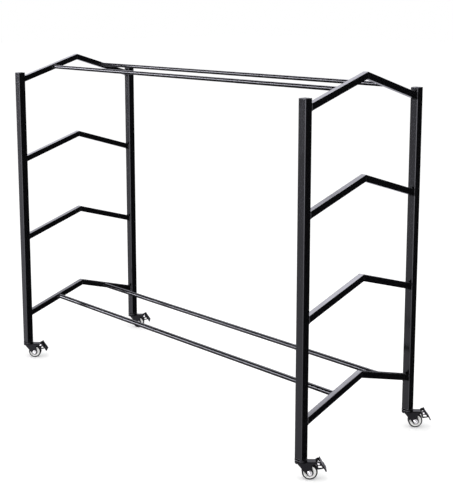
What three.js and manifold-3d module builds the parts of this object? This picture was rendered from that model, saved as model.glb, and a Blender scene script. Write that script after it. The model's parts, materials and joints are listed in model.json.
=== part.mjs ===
// Ball cart: a welded frame of square posts, ridged end crossbars and round rails on four
// swivel casters with brake pedals. Millimetres, +Z up, +X along the rails, floor at zero.

import * as THREE from 'three';
import { mergeVertices } from 'three/addons/utils/BufferGeometryUtils.js';
import Module from 'manifold-3d';

const wasm = await Module();
wasm.setup();

// Frame, outside sizes
const frameLength = 1570;
const frameWidth = 595;
const postHeight = 1130;
const postSide = 30;
const postWall = 1.5;
const postCorner = 3;

// Ridged crossbars at both ends, one above the other
const tierCount = 4;
const lowestTier = 130;
const topTierDrop = 13;
const ridgeRise = 82;
const barSide = 22;
const barWall = 1.5;
const barCorner = 2.5;

// Rails, a pair on the highest tier and a pair on the lowest
const railSpacing = 244;
const topRailDiameter = 15;
const bottomRailDiameter = 18;
const railWall = 1.2;

// Plastic plugs in the ends of the posts
const capThickness = 3;
const capEdge = 1;
const insertFlange = 2;
const plugDepth = 22;
const plugRibs = 2;
const ribThickness = 1.4;
const ribHeight = 1.2;

// Caster wheel
const wheelDiameter = 51;
const tyreWidth = 20;
const tyreThickness = 5;
const tyreShoulder = 3;
const hubWidth = 23;
const hubRadius = 8.5;
const wheelWeb = 9;
const rimThickness = 2.5;

// Caster fork, pressed from one sheet
const trail = 27.5;
const forkPlate = 2.5;
const crownClearance = 6.5;
const crownRadius = 20;
const crownRear = 46;
const forkFront = 16.5;
const crownSkirt = 4;
const legEndRadius = 12;
const legWaist = 35;
const armDepth = 7.5;
const armFillet = 4;
const neckDepth = 17;
const trailAngle = Math.PI / 4;

// Swivel head: stem, ball race and king rivet
const stemRadius = 5;
const stemLength = 18;
const cupRadius = 20.5;
const cupWall = 2;
const cupEdge = 1.5;
const raceHeight = 6;
const lowerRaceHeight = 2;
const lowerRaceInner = 10.5;
const lowerRaceOuter = 16.5;
const ballRingInner = 11.5;
const rivetHeadRadius = 7.5;
const rivetHeadHeight = 2.5;

// Axle and its nut
const axleRadius = 4;
const hexAcrossFlats = 13;
const flangeRadius = 8;
const flangeHeight = 1.6;
const boltHeadHeight = 5;
const nutHeight = 6.5;
const boltEnd = 1.5;

// Brake pedal and its pin
const pedalPlate = 1.8;
const pivotBehindTyre = 2;
const pivotDrop = 4;
const earRadius = 5.8;
const pedalReach = 23;
const pedalDrop = 25;
const treadPlate = 2.2;
const treadOffset = 7;
const barShare = 0.62;
const padPlate = 3.6;
const padLength = 17;
const padWidth = 37;
const padRibs = 4;
const shoePlate = 2.6;
const shoeClearance = 1.8;
const shoeFrom = Math.PI / 6.4;
const shoeTo = shoeFrom + Math.PI / 14;
const pinRadius = 2.5;
const pinHeadRadius = 4.2;
const pinHeadHeight = 1.6;

// Clearances
const weldGap = 0.3;
const seatGap = 0.3;
const plugGap = 0.3;
const runningGap = 0.3;
const sideGap = 0.5;
const overrun = 1;

// Facets
const cornerSteps = 1;
const railSteps = 8;
const wheelSteps = 22;
const turnedSteps = 16;
const flangeSteps = 9;
const crownSteps = 5;
const pinSteps = 8;
const edgeSteps = 3;

// Worked out from the sizes above
const wheelRadius = wheelDiameter / 2;
const crownUnderside = wheelDiameter + crownClearance;
const crownTop = crownUnderside + forkPlate;
const cupUnderside = crownTop + raceHeight;
const casterHeight = cupUnderside + cupWall;
const postFoot = casterHeight + seatGap + insertFlange + seatGap;
const postTop = postFoot + postHeight;
const postX = (frameLength - postSide) / 2;
const postY = (frameWidth - postSide) / 2;
const postBore = postSide - 2 * postWall;
const barX = (frameLength - barSide) / 2;
const barRun = frameWidth / 2 - postSide - weldGap;
const ridgeSlope = ridgeRise / barRun;
const barStretch = Math.hypot(1, ridgeSlope);
const barDepth = barSide * barStretch;
const tierSpacing = (postHeight - topTierDrop - lowestTier) / (tierCount - 1);
const railLength = frameLength - 2 * barSide - 2 * weldGap;
const forkInside = hubWidth + 2 * sideGap;
const forkOutside = forkInside + 2 * forkPlate;
const pedalInside = forkOutside + 2 * sideGap;
const pedalOutside = pedalInside + 2 * pedalPlate;
const pivot = new THREE.Vector2(trail + wheelRadius + pivotBehindTyre, crownTop - pivotDrop);
const axle = new THREE.Vector2(trail, wheelRadius);
const treadLength = Math.sqrt(pedalReach ** 2 + pedalDrop ** 2 - treadOffset ** 2);
const half = Math.PI;
const quarter = Math.PI / 2;

const finishes = {
  powderCoat: { color: 0x17171a, roughness: 0.38, metalness: 0 },
  blackPlastic: { color: 0x1d1d20, roughness: 0.55, metalness: 0 },
  pressedSteel: { color: 0x1b1b1e, roughness: 0.42, metalness: 0 },
  zinc: { color: 0xc9ccd0, roughness: 0.32, metalness: 1 },
  wheelPlastic: { color: 0xe6e6e3, roughness: 0.45, metalness: 0 },
  tyreRubber: { color: 0x1a1a1b, roughness: 0.8, metalness: 0 },
};

// Turns a mesh whose faces point inwards the right way round
function facingOut(geometry) {
  const place = geometry.attributes.position;
  const order = geometry.index ? geometry.index.array : [...Array(place.count).keys()];
  const corners = [new THREE.Vector3(), new THREE.Vector3(), new THREE.Vector3()];
  let volume = 0;
  for (let i = 0; i < order.length; i += 3) {
    corners.forEach((corner, k) => corner.fromBufferAttribute(place, order[i + k]));
    volume += corners[0].dot(corners[1].clone().cross(corners[2]));
  }
  if (volume < 0) {
    const turned = Array.from(order);
    for (let i = 0; i < turned.length; i += 3) {
      [turned[i], turned[i + 1]] = [turned[i + 1], turned[i]];
    }
    geometry.setIndex(turned);
    geometry.computeVertexNormals();
  }
  return geometry;
}

// A closed mesh as a solid for joining and cutting
function solid(geometry) {
  const bare = facingOut(geometry.clone());
  bare.deleteAttribute('normal');
  bare.deleteAttribute('uv');
  const merged = mergeVertices(bare);
  const corners = merged.index.array;
  const triVerts = [];
  for (let i = 0; i < corners.length; i += 3) {
    const [a, b, c] = [corners[i], corners[i + 1], corners[i + 2]];
    if (a !== b && b !== c && c !== a) triVerts.push(a, b, c);
  }
  return new wasm.Manifold(new wasm.Mesh({
    numProp: 3,
    vertProperties: new Float32Array(merged.attributes.position.array),
    triVerts: new Uint32Array(triVerts),
  }));
}

// A solid as a three.js geometry
function shell(joined) {
  const mesh = joined.getMesh();
  const geometry = new THREE.BufferGeometry();
  geometry.setAttribute('position', new THREE.BufferAttribute(mesh.vertProperties, 3));
  geometry.setIndex(new THREE.BufferAttribute(mesh.triVerts, 1));
  geometry.computeVertexNormals();
  return geometry;
}

function join(...geometries) {
  return geometries.map(solid).reduce((all, next) => all.add(next));
}

function piece(name, geometry, finish) {
  const mesh = new THREE.Mesh(geometry, new THREE.MeshStandardMaterial(finishes[finish]));
  mesh.name = name;
  return mesh;
}

// Draws a square with round corners, counterclockwise, about the origin
function roundedSquare(path, side, radius) {
  const inset = side / 2 - radius;
  path.absarc(inset, inset, radius, 0, quarter);
  path.absarc(-inset, inset, radius, quarter, 2 * quarter);
  path.absarc(-inset, -inset, radius, 2 * quarter, 3 * quarter);
  path.absarc(inset, -inset, radius, 3 * quarter, 4 * quarter);
  path.closePath();
  return path;
}

// Section of a square tube; its inner corner is never sharper than half the wall
function squareTube(side, wall, corner) {
  const section = roundedSquare(new THREE.Shape(), side, corner);
  const innerCorner = Math.max(corner - wall, wall / 2);
  section.holes.push(roundedSquare(new THREE.Path(), side - 2 * wall, innerCorner));
  return section;
}

function roundTube(diameter, wall) {
  const section = new THREE.Shape();
  section.absarc(0, 0, diameter / 2, 0, 2 * half);
  const bore = new THREE.Path();
  bore.absarc(0, 0, diameter / 2 - wall, 0, 2 * half);
  section.holes.push(bore);
  return section;
}

function extrude(section, depth, curveSegments, steps = 1) {
  return new THREE.ExtrudeGeometry(section, { depth, curveSegments, steps, bevelEnabled: false });
}

// Extrudes a side outline, drawn along the trail and up, across the caster from one side to the other
function across(section, from, to, curveSegments = edgeSteps) {
  return extrude(section, to - from, curveSegments).rotateX(quarter).translate(0, to, 0);
}

// Revolves a profile of radius and height about the vertical
function turned(profile, segments = turnedSteps) {
  const points = profile.map(([radius, height]) => new THREE.Vector2(radius, height));
  return facingOut(new THREE.LatheGeometry(points, segments).rotateX(quarter));
}

// Revolves a profile of radius and offset about the axle, with a flat at the bottom
function wheelTurned(profile, segments = wheelSteps) {
  const points = profile.map(([radius, offset]) => new THREE.Vector2(radius, offset));
  return facingOut(new THREE.LatheGeometry(points, segments, half / segments));
}

// A round bar across the caster, centred on a point of its side view
function crossPin(radius, from, to, at, segments = pinSteps) {
  const bar = new THREE.CylinderGeometry(radius, radius, to - from, segments);
  return bar.translate(at.x, (from + to) / 2, at.y);
}

function post() {
  return extrude(squareTube(postSide, postWall, postCorner), postHeight, cornerSteps)
    .translate(0, 0, postFoot);
}

// Height of a tier's crossbar, at the middle of its side, this far from the ridge
function barLevel(tier, fromRidge) {
  const upperEdge = postFoot + lowestTier + tier * tierSpacing;
  return upperEdge - barDepth / 2 + ridgeSlope * (barRun - fromRidge);
}

// Two legs of square tube mitred at the ridge, with plumb ends against the posts
function crossbar(tier) {
  const bar = extrude(squareTube(barSide, barWall, barCorner), 2 * barRun, cornerSteps, 2);
  bar.scale(1, barStretch, 1).rotateX(quarter).translate(0, barRun, 0);
  const place = bar.attributes.position;
  for (let i = 0; i < place.count; i += 1) {
    place.setZ(i, place.getZ(i) + barLevel(tier, Math.abs(place.getY(i))));
  }
  bar.computeVertexNormals();
  return bar;
}

function rail(diameter, tier, side) {
  return extrude(roundTube(diameter, railWall), railLength, railSteps)
    .translate(0, 0, -railLength / 2)
    .rotateY(quarter)
    .translate(0, side * railSpacing / 2, barLevel(tier, railSpacing / 2));
}

// Stacked ribs round a square core, which grip the bore of a post; it hangs down from zero
function ribbedPlug() {
  const widest = postBore - 2 * plugGap;
  const corner = postCorner - postWall;
  const core = roundedSquare(new THREE.Shape(), widest - 2 * ribHeight, corner);
  const rib = roundedSquare(new THREE.Shape(), widest, corner);
  const pitch = (plugDepth - ribThickness) / plugRibs;
  const ribs = Array.from({ length: plugRibs }, (_, i) => (
    extrude(rib, ribThickness, cornerSteps).translate(0, 0, -pitch * (i + 1) - ribThickness / 2)
  ));
  const body = extrude(core, plugDepth + overrun, cornerSteps).translate(0, 0, -plugDepth);
  return join(body, ...ribs);
}

// Cap on top of a post: a flange with an eased edge over the ribbed plug
function postCap() {
  const lid = roundedSquare(new THREE.Shape(), postSide - 2 * capEdge, postCorner - capEdge);
  const flange = new THREE.ExtrudeGeometry(lid, {
    depth: capThickness - capEdge,
    bevelThickness: capEdge,
    bevelSize: capEdge,
    bevelSegments: 1,
    curveSegments: cornerSteps,
  });
  const below = new THREE.BoxGeometry(2 * postSide, 2 * postSide, 2 * capEdge);
  const cut = solid(flange).subtract(solid(below.translate(0, 0, -capEdge)));
  return shell(cut.add(ribbedPlug())).translate(0, 0, postTop + seatGap);
}

// Insert in the foot of a post: the caster's stem is screwed into its bore
function stemInsert() {
  const flange = extrude(roundedSquare(new THREE.Shape(), postSide, postCorner), insertFlange, cornerSteps);
  const plug = ribbedPlug().mirror([0, 0, 1]).translate([0, 0, insertFlange + seatGap]);
  const coreSide = postBore - 2 * plugGap - 2 * ribHeight;
  const bridge = roundedSquare(new THREE.Shape(), coreSide, postCorner - postWall);
  const neck = extrude(bridge, insertFlange + seatGap + overrun, cornerSteps);
  const boreLength = insertFlange + seatGap + plugDepth + 2 * overrun;
  const boreRadius = stemRadius + plugGap;
  const bore = new THREE.CylinderGeometry(boreRadius, boreRadius, boreLength, turnedSteps);
  bore.rotateX(quarter).translate(0, 0, boreLength / 2 - overrun);
  return shell(join(flange, neck).add(plug).subtract(solid(bore)))
    .translate(0, 0, casterHeight + seatGap);
}

// Stem, upper ball cup and king rivet, turned as one piece
function swivelHead() {
  const rivetTop = crownUnderside - runningGap;
  return turned([
    [0, casterHeight + stemLength],
    [stemRadius, casterHeight + stemLength],
    [stemRadius, casterHeight],
    [cupRadius - cupEdge, casterHeight],
    [cupRadius, casterHeight - cupEdge],
    [cupRadius, crownTop + raceHeight / 2],
    [cupRadius - cupWall, crownTop + raceHeight / 2],
    [cupRadius - cupWall, cupUnderside],
    [stemRadius, cupUnderside],
    [stemRadius, rivetTop],
    [rivetHeadRadius, rivetTop],
    [stemRadius, rivetTop - rivetHeadHeight],
    [0, rivetTop - rivetHeadHeight],
  ]);
}

// Ring of balls in its cage, between the crown and the cup
function ballRace() {
  const outer = cupRadius - cupWall - cupEdge - sideGap;
  const low = crownTop + lowerRaceHeight + runningGap;
  const high = cupUnderside - runningGap;
  const waist = (high - low) / 2;
  return turned([
    [ballRingInner, low + waist],
    [ballRingInner + waist, low],
    [outer - waist, low],
    [outer, low + waist],
    [outer - waist, high],
    [ballRingInner + waist, high],
    [ballRingInner, low + waist],
  ]);
}

// Side outline of a fork leg: straight front edge, round end at the axle, arm and ear at the pivot
function legOutline() {
  const top = new THREE.Vector2(-forkFront, crownTop);
  const back = Math.atan2(top.y - axle.y, top.x - axle.x);
  const tangent = back + Math.acos(legEndRadius / top.distanceTo(axle));
  const underside = crownTop - armDepth;
  const outline = new THREE.Shape();
  outline.absarc(axle.x, axle.y, legEndRadius, tangent, 2 * half + half / 8);
  outline.quadraticCurveTo(legWaist, axle.y + legEndRadius, legWaist, underside - armFillet);
  outline.quadraticCurveTo(legWaist, underside, legWaist + armFillet, underside);
  outline.absarc(pivot.x, pivot.y, earRadius, -quarter, quarter);
  outline.lineTo(crownRear, crownTop);
  outline.lineTo(top.x, top.y);
  outline.closePath();
  return outline;
}

// Plan of the crown: round under the ball race, as wide as the legs behind it
function crownOutline() {
  const turn = Math.asin(forkOutside / 2 / crownRadius);
  const outline = new THREE.Shape();
  outline.moveTo(crownRear, -forkOutside / 2);
  outline.lineTo(crownRear, forkOutside / 2);
  outline.absarc(0, 0, crownRadius, turn, 2 * half - turn);
  outline.closePath();
  return outline;
}

// Edge of the crown turned down round its front, from one leg to the other
function skirtOutline() {
  const turn = Math.asin(forkOutside / 2 / crownRadius);
  const outline = new THREE.Shape();
  outline.absarc(0, 0, crownRadius, half - turn, half + turn);
  outline.absarc(0, 0, crownRadius - forkPlate, half + turn, half - turn, true);
  outline.closePath();
  return outline;
}

// Web that closes the front of the fork under the crown, along the legs' front edge
function neckOutline() {
  const back = Math.atan2(crownTop - axle.y, -forkFront - axle.x);
  const reach = Math.hypot(crownTop - axle.y, forkFront + axle.x);
  const tangent = back + Math.acos(legEndRadius / reach);
  const down = new THREE.Vector2(-Math.sin(tangent), Math.cos(tangent));
  const inward = new THREE.Vector2(-Math.cos(tangent), -Math.sin(tangent));
  const top = new THREE.Vector2(-forkFront, crownTop).addScaledVector(down, forkPlate);
  const foot = top.clone().addScaledVector(down, neckDepth);
  return new THREE.Shape([
    top,
    foot,
    foot.clone().addScaledVector(inward, forkPlate),
    top.clone().addScaledVector(inward, forkPlate),
  ]);
}

function lowerRace() {
  return turned([
    [lowerRaceInner, crownTop - forkPlate / 2],
    [lowerRaceOuter, crownTop - forkPlate / 2],
    [lowerRaceOuter, crownTop + lowerRaceHeight / 2],
    [lowerRaceOuter - lowerRaceHeight / 2, crownTop + lowerRaceHeight],
    [lowerRaceInner, crownTop + lowerRaceHeight],
    [lowerRaceInner, crownTop - forkPlate / 2],
  ]);
}

// Fork: crown, two legs with ears, front web and the raised lower race, with its holes
function fork() {
  const crown = extrude(crownOutline(), forkPlate, crownSteps).translate(0, 0, crownUnderside);
  const legs = [-1, 1].map((side) => {
    const [near, far] = side < 0 ? [-forkOutside / 2, -forkInside / 2] : [forkInside / 2, forkOutside / 2];
    return across(legOutline(), near, far);
  });
  const skirt = extrude(skirtOutline(), crownSkirt + forkPlate / 2, edgeSteps)
    .translate(0, 0, crownUnderside - crownSkirt);
  const neck = across(neckOutline(), -forkInside / 2 - overrun, forkInside / 2 + overrun);
  const kingBore = new THREE.CylinderGeometry(
    stemRadius + runningGap, stemRadius + runningGap, forkPlate + 2 * overrun, turnedSteps,
  );
  kingBore.rotateX(quarter).translate(0, 0, crownUnderside + forkPlate / 2);
  const width = forkOutside / 2 + overrun;
  const axleBore = crossPin(axleRadius + runningGap, -width, width, axle);
  const pivotBore = crossPin(pinRadius + runningGap, -width, width, pivot);
  return shell(join(crown, skirt, ...legs, neck, lowerRace())
    .subtract(solid(kingBore))
    .subtract(solid(axleBore))
    .subtract(solid(pivotBore)));
}

function hexagon(from, to) {
  const bar = new THREE.CylinderGeometry(
    hexAcrossFlats / Math.sqrt(3), hexAcrossFlats / Math.sqrt(3), to - from, 6,
  );
  return bar.translate(axle.x, (from + to) / 2, axle.y);
}

function axleBolt() {
  const inner = forkOutside / 2 + seatGap;
  const tip = -inner - nutHeight - boltEnd;
  return shell(join(
    crossPin(axleRadius, tip, inner + flangeHeight / 2, axle),
    crossPin(flangeRadius, inner, inner + flangeHeight, axle, flangeSteps),
    hexagon(inner + flangeHeight / 2, inner + boltHeadHeight),
  ));
}

function axleNut() {
  const outer = -forkOutside / 2 - seatGap;
  const flange = crossPin(flangeRadius, outer - flangeHeight, outer, axle, flangeSteps);
  const body = join(flange, hexagon(outer - nutHeight, outer - flangeHeight / 2));
  const bore = crossPin(axleRadius + runningGap, outer - nutHeight - overrun, outer + overrun, axle);
  return shell(body.subtract(solid(bore)));
}

// Wheel centre: long hub, dished web and a rim under the tyre
function wheelCore() {
  const bore = axleRadius + runningGap;
  const rim = wheelRadius - tyreThickness - seatGap;
  const profile = [
    [bore, -hubWidth / 2],
    [hubRadius, -hubWidth / 2],
    [rim - rimThickness, -wheelWeb / 2],
    [rim, -tyreWidth / 2],
    [rim, tyreWidth / 2],
    [rim - rimThickness, wheelWeb / 2],
    [hubRadius, hubWidth / 2],
    [bore, hubWidth / 2],
    [bore, -hubWidth / 2],
  ];
  return wheelTurned(profile).translate(axle.x, 0, axle.y);
}

// Tyre: a band with rounded shoulders and a slightly crowned tread
function tyre() {
  const inner = wheelRadius - tyreThickness;
  const side = tyreWidth / 2;
  const profile = [
    [inner, -side],
    [wheelRadius - tyreShoulder, -side],
    [wheelRadius, -side + tyreShoulder],
    [wheelRadius, side - tyreShoulder],
    [wheelRadius - tyreShoulder, side],
    [inner, side],
    [inner, -side],
  ];
  return wheelTurned(profile).translate(axle.x, 0, axle.y);
}

// A point of the pedal's side view, as shares of its reach and drop from the pivot
function fromPivot([reachShare, dropShare]) {
  return new THREE.Vector2(pivot.x + reachShare * pedalReach, pivot.y + dropShare * pedalDrop);
}

// The tread's line, a little in front of the ears: a point this far down it and this far out from the pivot
function onTread(down, out) {
  const tip = fromPivot([1, -1]);
  const lean = Math.atan2(tip.y - pivot.y, tip.x - pivot.x) - Math.asin(treadOffset / tip.distanceTo(pivot));
  const along = new THREE.Vector2(Math.cos(lean), Math.sin(lean));
  const outward = new THREE.Vector2(-along.y, along.x);
  return pivot.clone().addScaledVector(along, down).addScaledVector(outward, out);
}

// Side cheek of the pedal: a web beside the shoe, a pierced ear round the pin and a bar to the tread
function cheekOutline() {
  const webShares = [[-0.065, 0.27], [-0.326, 0.14], [-0.326, -0.5], [-0.165, -0.73], [0.5, -0.64]];
  const windowShares = [[-0.087, -0.5], [0.5, -0.49], [0.36, -0.24], [-0.087, -0.24]];
  const middle = treadOffset + treadPlate / 2;
  const outline = new THREE.Shape([
    ...webShares.map(fromPivot),
    onTread(barShare * treadLength, middle),
    onTread(-treadOffset / 2, middle),
  ]);
  outline.holes.push(new THREE.Path(windowShares.map(fromPivot)));
  return outline;
}

// Tread: a sloping plate in front of the ears, from its upper edge to the tip
function treadOutline() {
  return new THREE.Shape([
    onTread(-treadOffset, treadOffset),
    onTread(treadLength, treadOffset),
    onTread(treadLength, treadOffset + treadPlate),
    onTread(-treadOffset, treadOffset + treadPlate),
  ]);
}

// Foot pad on the tread, with ribs across it
function padOutline() {
  const low = treadOffset - (padPlate - treadPlate) / 2;
  const high = low + padPlate;
  const pitch = padLength / padRibs;
  const ribs = Array.from({ length: padRibs }, (_, i) => {
    const end = treadLength - i * pitch;
    const crest = onTread(end - pitch / 3, high + padPlate / 4);
    return [onTread(end, high), crest, onTread(end - 2 * pitch / 3, high)];
  });
  return new THREE.Shape([
    onTread(treadLength - padLength, low),
    onTread(treadLength, low),
    ...ribs.flat(),
    onTread(treadLength - padLength, high),
  ]);
}

// Brake shoe: a curved plate that stands off the tyre
function shoeOutline() {
  const inner = wheelRadius + shoeClearance;
  const outline = new THREE.Shape();
  outline.absarc(axle.x, axle.y, inner, shoeTo, shoeFrom, true);
  outline.absarc(axle.x, axle.y, inner + shoePlate, shoeFrom, shoeTo);
  outline.closePath();
  return outline;
}

// Pedal: two cheeks outside the fork's ears, joined by the tread and by the brake shoe
function brakePedal() {
  const cheeks = [[-pedalOutside / 2, -pedalInside / 2], [pedalInside / 2, pedalOutside / 2]];
  const middle = (pedalInside + pedalOutside) / 4;
  const plates = [
    across(treadOutline(), -middle, middle),
    across(padOutline(), -padWidth / 2, padWidth / 2),
    across(shoeOutline(), -middle, middle),
  ];
  const width = pedalOutside / 2 + overrun;
  const bore = crossPin(pinRadius + runningGap, -width, width, pivot);
  return shell(join(...cheeks.map(([near, far]) => across(cheekOutline(), near, far)), ...plates)
    .subtract(solid(bore)));
}

function pedalPin() {
  const end = pedalOutside / 2 + seatGap;
  return shell(join(
    crossPin(pinRadius, -end - overrun / 2, end + overrun / 2, pivot),
    crossPin(pinHeadRadius, end, end + pinHeadHeight, pivot),
    crossPin(pinHeadRadius, -end - pinHeadHeight, -end, pivot),
  ));
}

// One caster under a post, trailing at the parked angle
function caster(corner) {
  const parts = [
    ['swivel_head', swivelHead(), 'pressedSteel'],
    ['ball_race', ballRace(), 'zinc'],
    ['fork', fork(), 'pressedSteel'],
    ['axle_bolt', axleBolt(), 'zinc'],
    ['axle_nut', axleNut(), 'zinc'],
    ['wheel_core', wheelCore(), 'wheelPlastic'],
    ['tyre', tyre(), 'tyreRubber'],
    ['brake_pedal', brakePedal(), 'pressedSteel'],
    ['pedal_pin', pedalPin(), 'zinc'],
  ];
  const group = new THREE.Group();
  parts.forEach(([name, geometry, finish]) => group.add(piece(`${name}_${corner.name}`, geometry, finish)));
  group.rotation.z = trailAngle;
  return group;
}

// One corner of the cart: post, cap, insert and caster
function cornerOfCart(corner) {
  const group = new THREE.Group();
  group.add(
    piece(`post_${corner.name}`, post(), 'powderCoat'),
    piece(`cap_${corner.name}`, postCap(), 'blackPlastic'),
    piece(`stem_insert_${corner.name}`, stemInsert(), 'blackPlastic'),
    caster(corner),
  );
  group.position.set(corner.x * postX, corner.y * postY, 0);
  return group;
}

function endFrame(side, name) {
  const group = new THREE.Group();
  for (let tier = 0; tier < tierCount; tier += 1) {
    group.add(piece(`crossbar_${name}_${tier + 1}`, crossbar(tier), 'powderCoat'));
  }
  group.position.x = side * barX;
  return group;
}

function rails() {
  const group = new THREE.Group();
  const pairs = [['top', topRailDiameter, tierCount - 1], ['bottom', bottomRailDiameter, 0]];
  pairs.forEach(([level, diameter, tier]) => {
    [['front', -1], ['back', 1]].forEach(([name, side]) => {
      group.add(piece(`rail_${level}_${name}`, rail(diameter, tier, side), 'powderCoat'));
    });
  });
  return group;
}

const corners = [
  { name: 'front_left', x: -1, y: -1 },
  { name: 'back_left', x: -1, y: 1 },
  { name: 'front_right', x: 1, y: -1 },
  { name: 'back_right', x: 1, y: 1 },
];

const cart = new THREE.Group();
corners.forEach((corner) => cart.add(cornerOfCart(corner)));
cart.add(endFrame(-1, 'left'), endFrame(1, 'right'), rails());

// The origin is on the floor under the middle of the cart as it is parked
const bounds = new THREE.Box3().setFromObject(cart, true);
const middle = bounds.getCenter(new THREE.Vector3());
cart.position.set(-middle.x, -middle.y, -bounds.min.z);

export default cart;
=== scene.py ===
"""Ball cart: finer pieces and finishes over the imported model, with light and a camera."""

import json
import logging
import math
from collections.abc import Callable, Iterable, Sequence
from dataclasses import dataclass
from enum import Enum

import bmesh
import bpy
from mathutils import Matrix, Vector


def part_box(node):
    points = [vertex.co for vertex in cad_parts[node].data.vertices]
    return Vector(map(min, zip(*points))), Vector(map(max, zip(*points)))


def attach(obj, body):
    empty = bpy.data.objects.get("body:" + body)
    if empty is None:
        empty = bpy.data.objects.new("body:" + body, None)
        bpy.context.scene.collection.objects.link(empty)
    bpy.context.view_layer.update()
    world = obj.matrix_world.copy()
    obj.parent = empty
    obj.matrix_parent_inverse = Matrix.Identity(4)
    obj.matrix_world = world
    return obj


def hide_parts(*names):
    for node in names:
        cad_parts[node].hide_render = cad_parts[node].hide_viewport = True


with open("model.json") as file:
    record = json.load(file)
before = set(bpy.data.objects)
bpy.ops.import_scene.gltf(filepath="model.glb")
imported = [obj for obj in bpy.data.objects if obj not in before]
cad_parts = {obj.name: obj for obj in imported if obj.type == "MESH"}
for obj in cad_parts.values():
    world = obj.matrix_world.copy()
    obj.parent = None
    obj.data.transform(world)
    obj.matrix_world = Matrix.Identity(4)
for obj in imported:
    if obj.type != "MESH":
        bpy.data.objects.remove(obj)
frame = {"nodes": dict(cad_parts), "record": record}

MM = 0.001
Point2 = tuple[float, float]
Point3 = tuple[float, float, float]
Profile = tuple[Point2, ...]
Ring = list[Vector]
Source = bpy.types.Node | bpy.types.NodeSocket
log = logging.getLogger("ball_cart")


class Boolean(Enum):
    """How a tool mesh acts on the mesh that it meets."""

    UNION = "UNION"
    CUT = "DIFFERENCE"
    COMMON = "INTERSECT"


class Side(Enum):
    """The ends of the cart along X."""

    LEFT = "left"
    RIGHT = "right"


class Corner(Enum):
    """The corners of the cart, each with a post and a caster."""

    FRONT_LEFT = "front_left"
    BACK_LEFT = "back_left"
    FRONT_RIGHT = "front_right"
    BACK_RIGHT = "back_right"


def linear(colour: int) -> tuple[float, float, float, float]:
    """Turns an sRGB hex colour into linear light.

    Args:
        colour: The colour as 0xRRGGBB.

    Returns:
        Red, green and blue in linear light, and an alpha of one.
    """
    parts = [(colour >> shift & 255) / 255 for shift in (16, 8, 0)]
    curve = [p / 12.92 if p <= 0.04045 else ((p + 0.055) / 1.055) ** 2.4 for p in parts]
    return (curve[0], curve[1], curve[2], 1.0)


def add_node(tree: bpy.types.NodeTree, kind: str, settings: dict | None = None,
             links: dict | None = None) -> bpy.types.Node:
    """Adds a node to a tree.

    Args:
        tree: The node tree that gets the node.
        kind: Blender's name for the kind of node.
        settings: Attributes by name, and input values by socket name or number.
        links: What feeds the inputs, by socket name or number: an output, or a node whose
            first output it is.

    Returns:
        The new node.
    """
    made = tree.nodes.new(kind)
    for key, value in (settings or {}).items():
        if isinstance(key, str) and hasattr(made, key):
            setattr(made, key, value)
        else:
            made.inputs[key].default_value = value
    for key, source in (links or {}).items():
        whole = isinstance(source, bpy.types.Node)
        tree.links.new(source.outputs[0] if whole else source, made.inputs[key])
    return made


# Finishes


# The clouding of every finish: cycles in a metre, and the span of its noise that counts
CLOUD_SCALE = 14.0
CLOUD_LOW, CLOUD_HIGH = 0.3, 0.7
# The depth of the fine relief in millimetres
RELIEF_DEPTH = 0.05
# The numbers of a Mix node's two colour inputs and of its colour output
MIX_FIRST, MIX_SECOND, MIX_RESULT = 6, 7, 2


@dataclass(frozen=True)
class Skin:
    """A built finish: its material, and the record's slot that it fills."""

    material: bpy.types.Material
    slot: str


@dataclass(frozen=True)
class Finish:
    """A surface finish with a fine relief, read in Object coordinates.

    The grain is the real spacing of the relief. The IOR keeps its default of 1.5, which is close to
    that of paint, enamel, plastic and rubber alike.
    """

    name: str
    slot: str
    colour: int
    tint: int
    roughness: float
    spread: float
    grain_mm: float
    relief: float
    metallic: float = 0.0
    specular: float = 0.5

    def build(self) -> Skin:
        """Makes the material.

        Returns:
            The material, with roughness, colour and bump from its own noise, and its slot.
        """
        made = bpy.data.materials.new(self.name)
        made.use_nodes = True
        tree = made.node_tree
        surface = tree.nodes["Principled BSDF"].inputs
        surface["Metallic"].default_value = self.metallic
        surface["Specular IOR Level"].default_value = self.specular
        place = {"Vector": add_node(tree, "ShaderNodeTexCoord").outputs["Object"]}
        grain = add_node(tree, "ShaderNodeTexNoise", {
            "Scale": 1 / (self.grain_mm * MM), "Detail": 3.0, "Roughness": 0.55}, place)
        cloud = add_node(tree, "ShaderNodeTexNoise", {"Scale": CLOUD_SCALE, "Detail": 4.0}, place)
        dull = add_node(tree, "ShaderNodeMapRange", {
            "From Min": CLOUD_LOW, "From Max": CLOUD_HIGH, "To Min": self.roughness - self.spread,
            "To Max": self.roughness + self.spread}, {"Value": cloud})
        bump = add_node(tree, "ShaderNodeBump", {
            "Strength": self.relief, "Distance": RELIEF_DEPTH * MM}, {"Height": grain})
        shade = add_node(tree, "ShaderNodeMix", {
            "data_type": "RGBA", MIX_FIRST: linear(self.colour), MIX_SECOND: linear(self.tint)},
            {"Factor": cloud})
        for key, source in (("Base Color", shade.outputs[MIX_RESULT]),
                            ("Roughness", dull.outputs[0]), ("Normal", bump.outputs[0])):
            tree.links.new(source, surface[key])
        return Skin(made, self.slot)


# Polyester powder coat, sprayed and baked: a hard gloss black skin with a slight orange peel
POWDER_COAT = Finish("gloss_black_powder_coat", "powder_coat", 0x040405, 0x070709,
                     0.16, 0.04, 2.2, 0.3)
# Injection-moulded polyethylene: black with a waxy sheen and a fine moulded grain
MOULDED_PLASTIC = Finish("moulded_black_polyethylene", "black_plastic", 0x141416, 0x18181b,
                         0.42, 0.05, 0.5, 0.3)
# Deep-drawn mild steel under a thin electrophoretic black coat: smooth, satin
COATED_STEEL = Finish("black_coated_pressed_steel", "pressed_steel", 0x08080a, 0x0d0d0f,
                      0.28, 0.05, 0.9, 0.25, specular=0.13)
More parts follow.
